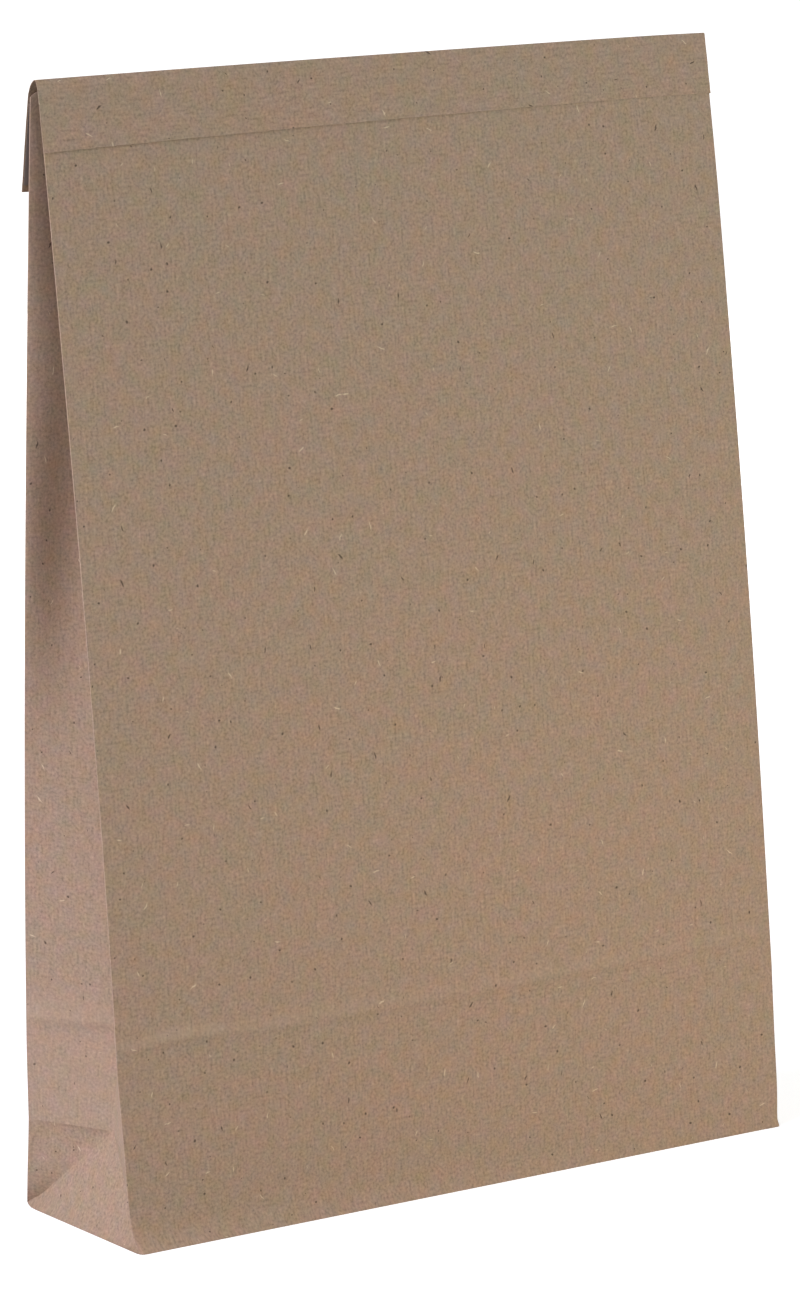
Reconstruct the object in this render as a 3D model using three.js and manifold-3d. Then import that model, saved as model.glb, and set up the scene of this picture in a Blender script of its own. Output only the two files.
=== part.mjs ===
// Gusseted kraft envelope, empty and standing on its block bottom. One folded sheet makes the bag: a front and a back
// panel, two side gussets with a valley fold, and a bottom of overlapping flaps. A second strip of paper is glued to the
// front, folds over above the mouth and hangs behind as the closing flap, with a release liner on its inner face.
// Millimetres, +Z up, front towards -Y, origin on the floor under the middle of the bottom.
import * as THREE from "three";
import { mergeVertices } from "three/addons/utils/BufferGeometryUtils.js";
import Module from "manifold-3d";

// Paper
const PAPER = 0.2; // thickness of one layer of kraft paper
const LINER_PAPER = 0.12; // thickness of the release liner
const GLUE_GAP = 0.3; // clearance between two papers that lie on each other
const FOLD_ROOM = 0.1; // room between the two layers of a sharp fold

// Bag
const PANEL_WIDTH = 280; // front and back panels, fold to fold
const GUSSET_DEPTH = 72; // one gusset laid flat, fold to fold
const MOUTH_HEIGHT = 392; // cut edge of the front panel above the floor
const BACK_DROP = 2; // how much lower the back panel's cut edge stands
const MOUTH_GAP = 5.5; // outside of the front panel to outside of the back panel at the mouth
const MOUTH_SETBACK = 18.6; // middle of the mouth behind the middle of the bottom
const BOTTOM_TUCK = 2; // how far each bottom corner stands inside the panel's fold
const TUCK_HEIGHT = 60; // height over which that tuck runs out

// Shape that the standing bag takes
const FRONT_BOW = 2.7; // front fold edges bow out at half height
const BACK_BOW = 2.1; // back fold edges bow out at half height
const PANEL_BULGE = 2; // middle of a panel stands out past its fold edges
const GUSSET_PINCH = 2.4; // the folded gusset draws the fold edges together above the bottom
const BOTTOM_CREASE = 32.5; // crease left where the bottom was folded flat against the back
const PACKING_CREASE = 70; // crease left by the edge of the flat-folded bottom
const CREASE_DENT = 0.5; // how far the packing crease dents the panels

// Block bottom and back seam
const BOTTOM_LAP = 18; // overlap of the two bottom flaps
const FLAP_SHY = 1.5; // how far the bottom flaps' slanted ends stay inside the corners
const SEAM_LAP = 16; // overlap of the sheet's edges down the back
const SEAM_X = 0; // middle of that overlap
const SEAM_RAMP = 6; // length over which the upper layer comes down to the panel
const SEAM_EDGE = 0.3; // width of the step at the seam's cut edge

// Closing strip
const STRIP_OVERHANG = 0.4; // each end of the strip past the panel's fold
const RIDGE_RISE = 4.2; // fold of the strip above the front panel's cut edge
const BAND_LEFT = 25; // glued band below the fold, left end
const BAND_RIGHT = 21; // glued band below the fold, right end
const FLAP_DROP = 38; // free flap below the fold, left end
const FLAP_REACH = 5.4; // the flap bends back this far before it hangs
const FLAP_BEND = 2.2; // drop over which most of that bend happens
const FLAP_SPLAY = 0.14; // lean of the hanging flap, back for each unit down

// Release liner
const LINER_WIDTH = 28; // up and down the flap
const LINER_MARGIN = 2.4; // bare paper along the flap's free edge
const LINER_END = 1.5; // bare paper at each end of the flap

// Facets
const PANEL_COLUMNS = 6;
const UPPER_LEVELS = 8;
const FLAP_STEPS = 12;
const BAND_STEPS = 3;

// Colours
const KRAFT_COLOUR = 0x9b856f;
const LINER_COLOUR = 0x9a8f88;

const wasm = await Module();
wasm.setup();

const lerp = THREE.MathUtils.lerp;
const clamp = THREE.MathUtils.clamp;
const fold = 2 * PAPER + FOLD_ROOM; // outside width of a sharp fold
const bottomThickness = 3 * PAPER; // tucked gusset ends and two flaps
const panelFlatFrom = MOUTH_HEIGHT + RIDGE_RISE - Math.max(BAND_LEFT, BAND_RIGHT) - 2 * GLUE_GAP;

// Half the bag's width at a height.
function halfWidth(height) {
  return PANEL_WIDTH / 2 - BOTTOM_TUCK * (1 - clamp(height / TUCK_HEIGHT, 0, 1));
}

// How far the gusset has drawn the fold edges in at a height.
function pinch(height) {
  const share = height / BOTTOM_CREASE;
  return GUSSET_PINCH * share * Math.exp(1 - share);
}

// Outside of the front panel at its fold edges.
function frontFold(height) {
  const share = height / MOUTH_HEIGHT;
  const straight = lerp(-GUSSET_DEPTH / 2, MOUTH_SETBACK - MOUTH_GAP / 2, share);
  return straight - FRONT_BOW * Math.sin(Math.PI * share) + pinch(height) * (1 - share);
}

// Outside of the back panel at its fold edges.
function backFold(height) {
  const share = height / MOUTH_HEIGHT;
  const straight = lerp(GUSSET_DEPTH / 2, MOUTH_SETBACK + MOUTH_GAP / 2, share);
  return straight + BACK_BOW * Math.sin(Math.PI * share) - pinch(height) * (1 - share);
}

// How far a panel stands out past its fold edges, across its width. The glued band keeps the top flat.
function bulge(x, height) {
  const across = 1 - (x / halfWidth(height)) ** 2;
  const up = Math.sin(Math.PI * clamp(height / panelFlatFrom, 0, 1));
  const dent = height === PACKING_CREASE ? CREASE_DENT : 0;
  return (PANEL_BULGE * up - dent) * across;
}

// How far a gusset's valley fold lies inside the panels' fold edges. Each half gusset keeps its own length.
function valleyInset(height) {
  const half = GUSSET_DEPTH / 2;
  const spread = (backFold(height) - frontFold(height)) / 2;
  return Math.sqrt(Math.max(half * half - spread * spread, 0));
}

// The valley folds stand lower than the fold edges, because the bottom triangle of the gusset leans inwards.
function valleyDip(height) {
  const inset = valleyInset(BOTTOM_CREASE);
  const dip = BOTTOM_CREASE - Math.sqrt(BOTTOM_CREASE * BOTTOM_CREASE - inset * inset);
  return dip * Math.min(height / BOTTOM_CREASE, 1);
}

// Step of the lap seam on the outside of the back panel, as [x, layers] from right to left.
function seamSteps() {
  const right = SEAM_X + SEAM_LAP / 2;
  const left = SEAM_X - SEAM_LAP / 2;
  return [
    [right + SEAM_RAMP, 0],
    [right, 1],
    [left, 1],
    [left - SEAM_EDGE, 0],
  ];
}

// One level of the bag: its outline seen from above, anticlockwise from the front left fold.
// Each corner has a layer count, the extra paper on the outside there.
function outlineAt(height) {
  const half = halfWidth(height);
  const front = frontFold(height);
  const back = backFold(height);
  const backHeight = height * (1 - BACK_DROP / MOUTH_HEIGHT);
  const valley = half - valleyInset(height);
  const middle = (front + back) / 2;
  const valleyHeight = (height + backHeight) / 2 - valleyDip(height);
  const corners = [];
  const add = (x, y, z, layers = 0) => corners.push({ at: new THREE.Vector3(x, y, z), layers });

  for (let i = 0; i <= PANEL_COLUMNS; i++) {
    const x = lerp(-half, half, i / PANEL_COLUMNS);
    add(x, front - bulge(x, height), height);
  }
  add(half, front + fold, height);
  add(valley, middle - fold / 2, valleyHeight);
  add(valley, middle + fold / 2, valleyHeight);
  add(half, back - fold, backHeight);
  add(half, back, backHeight);
  const side = PANEL_COLUMNS / 2;
  const seam = seamSteps();
  for (let i = 1; i < side; i++) {
    const x = lerp(half, seam[0][0], i / side);
    add(x, back + bulge(x, height), backHeight);
  }
  for (const [x, layers] of seam) {
    add(x, back + bulge(x, height), backHeight, layers);
  }
  for (let i = 1; i < side; i++) {
    const x = lerp(seam[3][0], -half, i / side);
    add(x, back + bulge(x, height), backHeight);
  }
  add(-half, back, backHeight);
  add(-half, back - fold, backHeight);
  add(-valley, middle + fold / 2, valleyHeight);
  add(-valley, middle - fold / 2, valleyHeight);
  add(-half, front + fold, height);
  return corners;
}

// Corners moved by a distance to the left of the way the line runs, with mitred corners.
// A plane vector per corner; an open line keeps its ends square.
function offsetLine(points, distance, closed) {
  const count = points.length;
  const normal = (i, j) => {
    const way = points[j].clone().sub(points[i]).normalize();
    return new THREE.Vector2(-way.y, way.x);
  };
  return points.map((point, i) => {
    const first = closed || i > 0 ? normal((i + count - 1) % count, i) : normal(i, i + 1);
    const second = closed || i < count - 1 ? normal(i, (i + 1) % count) : first;
    const mitre = first.clone().add(second).divideScalar(1 + first.dot(second));
    return point.clone().addScaledVector(mitre, distance);
  });
}

// Triangles collected into one geometry. Triangles with no area are left out.
function makeSkin() {
  const values = [];
  const area = new THREE.Triangle();
  const triangle = (a, b, c) => {
    if (area.set(a, b, c).getArea() > 0) {
      values.push(...a.toArray(), ...b.toArray(), ...c.toArray());
    }
  };
  // Corners in order round the quad; the fold runs from a to c, or from b to d.
  const quad = (a, b, c, d, foldFromA = true) => {
    triangle(a, b, foldFromA ? c : d);
    triangle(foldFromA ? a : b, c, d);
  };
  const geometry = () => {
    const made = new THREE.BufferGeometry();
    return made.setAttribute("position", new THREE.Float32BufferAttribute(values, 3));
  };
  return { triangle, quad, geometry };
}

// A closed geometry as a solid for joining and cutting.
function toSolid(geometry) {
  const bare = geometry.index ? geometry.toNonIndexed() : geometry.clone();
  bare.deleteAttribute("normal");
  bare.deleteAttribute("uv");
  const merged = mergeVertices(bare, 1e-3);
  const vertProperties = merged.attributes.position.array;
  const triVerts = new Uint32Array(merged.index.array);
  return new wasm.Manifold(new wasm.Mesh({ numProp: 3, vertProperties, triVerts }));
}

function toGeometry(solid) {
  const mesh = solid.getMesh();
  const made = new THREE.BufferGeometry();
  made.setAttribute("position", new THREE.BufferAttribute(mesh.vertProperties, 3));
  made.setIndex(new THREE.BufferAttribute(mesh.triVerts, 1));
  return made;
}

// Heights of the bag's levels: the bottom, its two creases, then evenly to the band and on to the mouth.
function levelHeights() {
  const heights = [0, BOTTOM_CREASE];
  for (let i = 0; i <= UPPER_LEVELS; i++) {
    heights.push(lerp(PACKING_CREASE, panelFlatFrom, i / UPPER_LEVELS));
  }
  return [...heights, MOUTH_HEIGHT];
}

// The folded bag, one wall of paper all round, open at the mouth and closed by a flat bottom.
function bagShell() {
  const outer = [];
  const inner = [];
  for (const height of levelHeights()) {
    const corners = outlineAt(height);
    const flat = corners.map(({ at }) => new THREE.Vector2(at.x, at.y));
    const inside = offsetLine(flat, PAPER, true);
    outer.push(corners.map(({ at, layers }) => at.clone().setY(at.y + layers * PAPER)));
    inner.push(corners.map(({ at }, i) => new THREE.Vector3(inside[i].x, inside[i].y, at.z)));
  }
  inner[0].forEach((corner) => corner.setZ(bottomThickness));

  const skin = makeSkin();
  const count = outer[0].length;
  const top = outer.length - 1;
  const floor = new THREE.Vector3(0, 0, 0);
  const inside = new THREE.Vector3(0, 0, bottomThickness);
  for (let i = 0; i < count; i++) {
    const next = (i + 1) % count;
    // A gusset's diagonal fold runs from the bottom corner to the valley.
    const fromCorner = Math.abs(outer[top][next].x) <= Math.abs(outer[top][i].x);
    for (let k = 0; k < top; k++) {
      const [low, high] = [outer[k], outer[k + 1]];
      const [lowIn, highIn] = [inner[k], inner[k + 1]];
      skin.quad(low[i], low[next], high[next], high[i], fromCorner);
      skin.quad(lowIn[next], lowIn[i], highIn[i], highIn[next], !fromCorner);
    }
    skin.quad(outer[top][i], outer[top][next], inner[top][next], inner[top][i]);
    skin.triangle(floor, outer[0][next], outer[0][i]);
    skin.triangle(inside, inner[0][i], inner[0][next]);
  }
  return skin.geometry();
}

// A plate of the given outline between two heights.
function plate(outline, from, to) {
  const shape = new THREE.Shape(outline.map(([x, y]) => new THREE.Vector2(x, y)));
  return new THREE.ExtrudeGeometry(shape, { depth: to - from, bevelEnabled: false }).translate(0, 0, from);
}

// The bag with its bottom flaps: the back flap lies outermost, the front flap one layer higher,
// and the tucked ends of the gussets one more. Each cut is what a layer leaves bare.
function bagBody() {
  const half = halfWidth(0) - FLAP_SHY;
  const depth = GUSSET_DEPTH / 2;
  const lap = BOTTOM_LAP / 2;
  const edge = half - depth - lap;
  const past = 2 * FLAP_SHY; // the cuts run this far past the bag's sides
  const besideBackFlap = [
    [-half - past, -depth - past],
    [half + past, -depth - past],
    [half + past, depth + past],
    [edge, -lap],
    [-edge, -lap],
    [-half - past, depth + past],
  ];
  let bag = toSolid(bagShell()).subtract(toSolid(plate(besideBackFlap, -PAPER, PAPER)));
  for (const side of [-1, 1]) {
    const tuckedEnd = [
      [side * (half + past), -depth - past],
      [side * (half + past), depth + past - FOLD_ROOM],
      [side * (half - depth + FOLD_ROOM / 2), -FOLD_ROOM / 2],
    ];
    bag = bag.subtract(toSolid(plate(tuckedEnd, -PAPER, 2 * PAPER)));
  }
  return toGeometry(bag);
}

// Outside of the front panel where the band lies: straight from the top of the bulge to the mouth, and on to the fold.
function bandSeat(height) {
  const share = (height - panelFlatFrom) / (MOUTH_HEIGHT - panelFlatFrom);
  return lerp(frontFold(panelFlatFrom), frontFold(MOUTH_HEIGHT), share);
}

const ridgeHeight = MOUTH_HEIGHT + RIDGE_RISE;
const ridgeSetback = bandSeat(ridgeHeight) - GLUE_GAP;

// Inner face of the hanging flap at a drop below the fold, as (y, z).
function flapAt(drop) {
  const reach = FLAP_REACH * (1 - Math.exp(-drop / FLAP_BEND)) + FLAP_SPLAY * drop;
  return new THREE.Vector2(ridgeSetback + reach, ridgeHeight - drop);
}

// Inner face of the whole strip at one end, from the band's lower edge over the fold to the flap's free edge.
function stripLine(band, drop) {
  const line = [];
  for (let i = 0; i < BAND_STEPS; i++) {
    const height = ridgeHeight - band * (1 - i / BAND_STEPS);
    line.push(new THREE.Vector2(bandSeat(height) - GLUE_GAP, height));
  }
  for (let i = 0; i <= FLAP_STEPS; i++) {
    line.push(flapAt(drop * (i / FLAP_STEPS) ** 2));
  }
  return line;
}

// A sheet between two ends: each end has a lower and an upper line of (y, z), and the sheet's faces join them along x.
function sheet(halfLength, leftFaces, rightFaces) {
  const place = (x) => (line) => line.map((p) => new THREE.Vector3(x, p.x, p.y));
  const [leftIn, leftOut] = leftFaces.map(place(-halfLength));
  const [rightIn, rightOut] = rightFaces.map(place(halfLength));
  const skin = makeSkin();
  const last = leftIn.length - 1;
  for (let i = 0; i < last; i++) {
    skin.quad(leftOut[i], rightOut[i], rightOut[i + 1], leftOut[i + 1]);
    skin.quad(rightIn[i], leftIn[i], leftIn[i + 1], rightIn[i + 1]);
    skin.quad(leftIn[i], leftOut[i], leftOut[i + 1], leftIn[i + 1]);
    skin.quad(rightOut[i], rightIn[i], rightIn[i + 1], rightOut[i + 1]);
  }
  skin.quad(leftIn[0], rightIn[0], rightOut[0], leftOut[0]);
  skin.quad(leftOut[last], rightOut[last], rightIn[last], leftIn[last]);
  return skin.geometry();
}

const rightDrop = FLAP_DROP + BAND_LEFT - BAND_RIGHT; // the strip's long edges are parallel
const stripHalf = PANEL_WIDTH / 2 + STRIP_OVERHANG;

function closingFlap() {
  const faces = (band, drop) => {
    const inside = stripLine(band, drop);
    return [inside, offsetLine(inside, PAPER, false)];
  };
  return sheet(stripHalf, faces(BAND_LEFT, FLAP_DROP), faces(BAND_RIGHT, rightDrop));
}

function releaseLiner() {
  const faces = (drop) => {
    const seat = [];
    for (let i = 0; i <= FLAP_STEPS; i++) {
      seat.push(flapAt(drop - LINER_MARGIN - LINER_WIDTH * (1 - i / FLAP_STEPS)));
    }
    const outside = offsetLine(seat, -GLUE_GAP, false);
    return [offsetLine(seat, -GLUE_GAP - LINER_PAPER, false), outside];
  };
  return sheet(stripHalf - LINER_END, faces(FLAP_DROP), faces(rightDrop));
}

function paperMesh(name, geometry, color) {
  geometry.computeVertexNormals();
  const material = new THREE.MeshStandardMaterial({ color, roughness: 0.85, metalness: 0 });
  const mesh = new THREE.Mesh(geometry, material);
  mesh.name = name;
  return mesh;
}

const envelope = new THREE.Group();
envelope.add(paperMesh("bag_body", bagBody(), KRAFT_COLOUR));
envelope.add(paperMesh("closing_flap", closingFlap(), KRAFT_COLOUR));
envelope.add(paperMesh("release_liner", releaseLiner(), LINER_COLOUR));

export default envelope;
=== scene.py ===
"""Looks of the gusseted kraft envelope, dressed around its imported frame.
Lengths are millimetres until a mesh is made."""
import math

import bpy
from mathutils import Matrix, Vector, noise


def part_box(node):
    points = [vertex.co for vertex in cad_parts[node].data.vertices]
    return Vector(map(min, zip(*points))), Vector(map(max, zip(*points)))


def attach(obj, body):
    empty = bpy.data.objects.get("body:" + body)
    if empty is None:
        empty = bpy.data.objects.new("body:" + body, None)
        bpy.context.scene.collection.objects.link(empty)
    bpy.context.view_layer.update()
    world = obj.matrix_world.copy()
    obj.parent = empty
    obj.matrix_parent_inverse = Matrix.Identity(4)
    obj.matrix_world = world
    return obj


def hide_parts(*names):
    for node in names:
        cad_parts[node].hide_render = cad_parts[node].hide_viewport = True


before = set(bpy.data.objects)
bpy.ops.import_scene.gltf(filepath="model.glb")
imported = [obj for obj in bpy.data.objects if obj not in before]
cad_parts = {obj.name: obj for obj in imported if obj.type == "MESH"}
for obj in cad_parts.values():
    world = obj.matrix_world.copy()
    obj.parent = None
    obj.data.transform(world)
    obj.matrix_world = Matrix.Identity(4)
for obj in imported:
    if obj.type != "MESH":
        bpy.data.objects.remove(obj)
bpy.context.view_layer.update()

METRES = 0.001

# Paper
PAPER = 0.2  # thickness of the kraft paper
LINER_PAPER = 0.12  # thickness of the release liner
GLUE_LINE = 0.03  # gap left between two glued papers
FOLD_WIDTH = 0.44  # outside width of a sharp fold
CORNER_FOLD_WIDTH = 0.1  # and of one at a bottom corner, where it opens out
FOLD_CREST = 0.2  # a fold's crest stands out by this share of its width

# Bag
bag_low, bag_high = (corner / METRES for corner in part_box("bag_body"))
PANEL_WIDTH = bag_high.x - bag_low.x  # fold to fold
MOUTH_HEIGHT = bag_high.z  # cut edge of the front panel
GUSSET_DEPTH = 72.0  # one gusset laid flat
HALF_GUSSET = GUSSET_DEPTH / 2  # from a fold to the valley
BACK_DROP = 2.0  # how much lower the back panel's cut edge stands
MOUTH_GAP = 4.6  # outside of the front panel to outside of the back panel at the mouth
MOUTH_SETBACK = 18.7  # middle of the mouth behind the middle of the bottom
LEFT_GAP = 1.25  # the mouth gapes this much more at its left end
BOTTOM_TUCK = 2.0  # each bottom corner stands this far inside the panel's fold
TUCK_HEIGHT = 60.0  # height over which that runs out
LEFT_SKEW = 1.4  # the bottom's left end stands askew, its back corner further out
RIGHT_SPREAD = 0.3  # the bottom's right end stands further out
RIGHT_EAR = 0.9  # and its front corner leaves a small ear at the floor
RIGHT_EAR_RISE = 2.0  # height of that ear
RIGHT_EAR_RUN = 4.0  # and its reach from the corner
RIGHT_DRAW = 0.9  # the right end is drawn in at the top
RIGHT_DRAW_FROM = 340.0  # from this height up
RIGHT_DRAW_CURVE = 1.5  # power of the curve there, 1 for a straight lean
LEFT_BOW = 2.7  # front left fold bows out at half height
RIGHT_BOW = 2.6  # front right fold
BACK_BOW = 1.9  # back folds
PANEL_BULGE = 2.0  # middle of a panel stands out past its folds
BOTTOM_CREASE = 33.0  # crease where the bottom was folded flat against the back
PACKING_CREASE = 70.0  # crease left by the edge of the folded bottom
CREASE_SKEW = 1.7  # that crease stands higher at the right
GUSSET_CREASE_RISE = 3.6  # on a gusset it rises from the back to the front
PANEL_RIDGE = 0.42  # that crease stands up as a small ridge on a panel
LEFT_RIDGE = 0.2  # and more so in one place near the front left fold
LEFT_RIDGE_AT = -114.0  # its place across the panel
LEFT_RIDGE_RUN = 20.0  # and its reach to both sides
LEFT_RIDGE_RISE = 2.2  # where it also stands higher
RIDGE_ABOVE = 2.6  # width of its upper slope
RIDGE_BELOW = 1.8  # and of its lower slope
RIDGE_FADE = 8.0  # steepness with which it runs out towards a panel's folds
GUSSET_RIDGE = 0.8  # height of the same ridge on a gusset
GUSSET_RIDGE_ABOVE = 14.0  # where its upper slope runs out further
GUSSET_RIDGE_BELOW = 3.0  # and its lower slope too
CREASE_STAND = 2.0  # a panel stands furthest out along that crease
LEFT_PINCH = 5.6  # front left fold is drawn in above its corner
EAR_HEIGHT = 4.0  # height of the ear that the corner leaves standing out
LEFT_PINCH_RUN = 50.0  # height over which the pinch runs out
RIGHT_PINCH = 1.6  # front right fold is drawn in less
RIGHT_PINCH_RUN = 70.0  # most so at this height
BACK_PINCH = 4.0  # back folds are drawn in at the bottom crease
BACK_PINCH_RUN = 80.0  # height over which that runs out
FRONT_CORNER = 2.6  # radius of the front bottom corners, seen from above
BACK_CORNER = 1.2  # and of the back ones
CORNER_HEIGHT = 20.0  # height over which a corner sharpens into its fold
CORNER_LIFT = 1.4  # the back corners stand off the floor
CORNER_LIFT_RUN = 2.2  # within this reach of the fold
MOUTH_STEP = 2.6  # a gusset's cut edge climbs from the back panel to the front within this width
MOUTH_RUN = 14.0  # depth of gusset that this draws up
CUT_LIP = 0.2  # the cut edge of a gusset curls back
CUT_LIP_RUN = 1.5  # depth of that curl
ROLL = 1.9  # above half height a half gusset still lies along its panel, this far off it
TOP_ROLL = 1.35  # and closer at the mouth
ROLL_FROM = 325.0  # height from which it comes closer
ROLL_FADE = 25.0  # and over which it does
ROLL_RUN = 3.6  # distance over which it rolls in from the fold
ROLL_SWELL = 1.5  # at one height it stands further off
RUN_SWELL = 2.4  # and rolls in over a longer way
SWELL_HEIGHT = 300.0  # that height
SWELL_RUN = 26.0  # reach of that swell up and down
ROLL_MOST = 0.3  # no more than this share of the way to the middle
HOLLOW = 3.6  # power of the curve from there to the valley, 1 for a flat half gusset
OPENING_HEIGHT = 192.0  # below this height it has opened out, at the fold
OPENING_RISE = 12.0  # the opening stands that much higher at the valley
OPENING_RUN = 98.0  # height over which it opens out
CREASE_SLACK = 0.17  # at the bottom crease the valley stays this share short of its full depth
BULGE_SLACK = 0.1  # and above the packing crease
BULGE_RUN = 45.0  # most so this far above it
VALLEY_DIP = 3.0  # the valley stands lower than the folds above the packing crease
DISH = 0.8  # back side triangles below the bottom crease are hollow
DISH_RUN = 5.0  # deepest this far below the crease
FOLD_SHARE = 0.12  # ridges and hollows run out over this share of a half gusset beside its folds
POCKET = 2.4  # the diagonal folds run deeper near the bottom corners
POCKET_SHARE = 0.12  # deepest at this share of their length
POCKET_RUN = 4.5  # height above the diagonal over which that runs out
POCKET_LEAN = 0.35  # at the front it leans away from the panel by this share of its depth
POCKET_RISE = 0.42  # and at the back it stands higher by this share of its depth
WAVE = 0.35  # unevenness of a panel
WAVE_LENGTH = 75.0  # from one such wave to the next
RIPPLE = 0.07  # small ripples on those waves
RIPPLE_LENGTH = 16.0  # from one ripple to the next
WAVE_FADE = 3.0  # steepness with which both run out towards the floor and the band
SEAM_LAP = 16.0  # overlap of the sheet's edges down the back
SEAM_RAMP = 6.0  # length over which the outer layer comes down
BOTTOM_LAP = 18.0  # overlap of the two bottom flaps
BOTTOM_HEM = 1.2  # paper turned under each bottom fold before its flap begins
BOTTOM_FLAP_CLEAR = 1.5  # a flap's ends stand this far inside that hem
BOTTOM_FLAP_PAPER = 0.95 * PAPER  # pressed a little thinner, so that no two faces meet
END_TUCK = 42.0  # length of the gusset ends folded in under the flaps

# Closing strip
strip_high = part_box("closing_flap")[1] / METRES
TOP_HEIGHT = strip_high.z  # fold over the mouth
LEFT_SAG = 0.4  # that fold stands lower at its left end
RIGHT_SAG = 0.42  # and close to its right end
RIGHT_SAG_CURVE = 6  # power of the curve there
STRIP_HALF = strip_high.x  # from its middle to its end
BAND_LEFT = 24.2  # glued band below the fold, left end
BAND_RIGHT = 21.7  # and right end
BAND_CURVE = 1.8  # most of that difference lies at the left
BAND_FOOT = TOP_HEIGHT - BAND_LEFT  # lower edge of the band, left end
FLAP_DROP = 38.8  # free flap below the fold, left end
FLAP_REACH = 3.7  # the flap bends back this far before it hangs
FLAP_BEND = 2.2  # drop over which most of that bend happens
FLAP_SPLAY = 0.152  # lean of the hanging flap
FLAP_WAVE = 0.35  # waves of its free edge
FLAP_WAVE_LENGTH = 90.0  # from one such wave to the next
BAND_LIFT = 0.32  # the band's lower edge stands off at the left
LIFT_DEPTH = 2.5  # depth of band that stands off
LIFT_MIDDLE = 0.55  # half way along, this share of the lift is still there
LIFT_CURVE = 0.7  # power of the curve along the band, 1 for a straight line
BAND_PRESSED = 0.6  # at the right that edge is pressed thinner by this share
RAGGED = 0.16  # unevenness of a cut edge
RAGGED_TOOTH = 1.7  # length of its small teeth
RAGGED_WAVE = 9.0  # and of the slow waves under them
RAGGED_WAVE_SHARE = 0.8  # height of those waves beside the teeth
END_SWAY = 0.1  # unevenness of the strip's cut ends
END_SWAY_LENGTH = 2.0  # from one such bend to the next
LINER_WIDTH = 28.0  # down the flap
LINER_MARGIN = 2.4  # bare paper along the flap's free edge
LINER_END = 0.5  # the liner ends this far inside the strip's ends

# Mesh spacing
PANEL_STEP = 5.0  # columns across a panel
WALL_STEP = 4.0  # rows up the wall
STRIP_STEP = 0.8  # columns along the strip, close for its ragged edges
FOLD_STEPS = (0.0, 0.4, 1.4, 3.0)  # close columns and rows beside a fold
HALF_GUSSET_COLUMNS = 12
BOTTOM_FLAP_ROWS, BOTTOM_FLAP_COLUMNS = 12, 40
END_TUCK_ROWS, END_TUCK_COLUMNS = 14, 16
LINER_ROWS, LINER_COLUMNS = 20, 100
BAND_SHARES = (0.0, 0.012, 0.035, 0.08, 0.16, 0.3, 0.45, 0.6, 0.75, 0.86, 0.93)  # rows up the band
FLAP_SHARES = (*(i / 16 for i in range(16)), 0.975, 0.99, 1.0)  # rows down the flap
TOP_STEP = 0.2  # rows over the fold at the mouth
TOP_REACH = 3.0  # length of band and of flap beside that fold with such rows
TOP_SOFT_ROWS = 6  # rows on each side of that fold that its rounding takes in
TOP_SOFT_ROUNDS = 10
MITRE_LEAST = 0.4  # keeps the mitre of a sharp fold short
SHARP_FOLD = 25.0  # degrees from which a fold is shaded sharp

# Wear and painted light, as one pale tint: 1 for a fold rubbed pale with a painted highlight on it
BESIDE_FOLD = 0.2  # wear and painted highlight of the columns beside a fold's crest
BACK_FOLD_WEAR_AND_LIGHT = 0.35  # wear of the back folds, with a painted highlight on them
PANEL_SCUFF = 0.25  # paleness of the packing crease on a panel
LEFT_SCUFF = 0.6  # and more in one place near the front left fold
SCUFF_WIDTH = 4.0  # height of that pale line
GUSSET_CREASE_LIGHT = 0.8  # paleness of a gusset above its packing crease: painted light where that slope faces up
BETWEEN_CREASES_LIGHT = 0.4  # and between its two creases, painted light that leaves the triangle below the bottom crease darker
CUT_EDGE_HIGHLIGHT = 2.0  # paleness of the mouth's cut edge: a painted highlight where it faces up into the light
BOTTOM_FLAP_WEAR = 0.7  # of a bottom flap's cut edge
STRIP_WEAR = 0.8  # of the strip's long cut edges
STRIP_END_WEAR = 0.3  # and of its ends
WEAR_AND_LIGHT_SHARE = 0.3  # share of the pale tint that a value of 1 gives, for wear and painted light alike

# Flecks in the paper
FLECK_SCATTER = 0.9  # how freely they lie in their cells, 0 for an even grid
FLECK_BEND = 0.3  # bend of one, as a share of its length
FLECK_LEAST = 0.35  # size of the smallest beside the largest
FLECK_RIM, FLECK_CORE = 1.15, 0.6  # one fades between these shares of its reach

# Places of the papers on one sheet, so that no two show the same specks
INNER_FACE = 40.0  # inner face of a paper, past its outer one
BOTTOM_FLAP_AT, END_TUCK_AT, STRIP_AT = 500.0, 900.0, 1500.0  # along the sheet

# Camera, from the photograph's view
FRAME_HEIGHT = 1289  # pixels of the frame's long side
FOCAL_PIXELS = 5815.0  # focal length in those pixels
CAMERA_AT = Vector((-1130.48, -1652.39, 599.90))
CAMERA_AZIMUTH, CAMERA_ELEVATION, CAMERA_ROLL = -34.2588, 11.5630, -0.1100  # degrees
SENSOR = 36.0  # along the frame's long side


def lerp(a, b, share):
    return a + (b - a) * share


def clamp(value, low=0.0, high=1.0):
    return min(max(value, low), high)


def spaced(length, step, close=FOLD_STEPS):
    """Positions from 0 to length, close together beside both ends."""
    first, last = close[-1], length - close[-1]
    count = max(round((last - first) / step), 1)
    middle = [lerp(first, last, i / count) for i in range(1, count)]
    return [*close, *middle, *(length - c for c in reversed(close))]


# The folded bag
def half_width(height):
    return PANEL_WIDTH / 2 - BOTTOM_TUCK * (1 - clamp(height / TUCK_HEIGHT))


def corner_inset(face, height, from_fold):
    """How far the rounding of a bottom corner draws in a point at a distance from the fold."""
    corner = FRONT_CORNER if face < 0 else BACK_CORNER
    radius = corner * (1 - clamp(height / CORNER_HEIGHT)) ** 2
    if from_fold >= radius:
        return 0.0
    return (1 - math.sqrt(0.5)) * radius * (1 - from_fold / radius) ** 2


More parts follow.
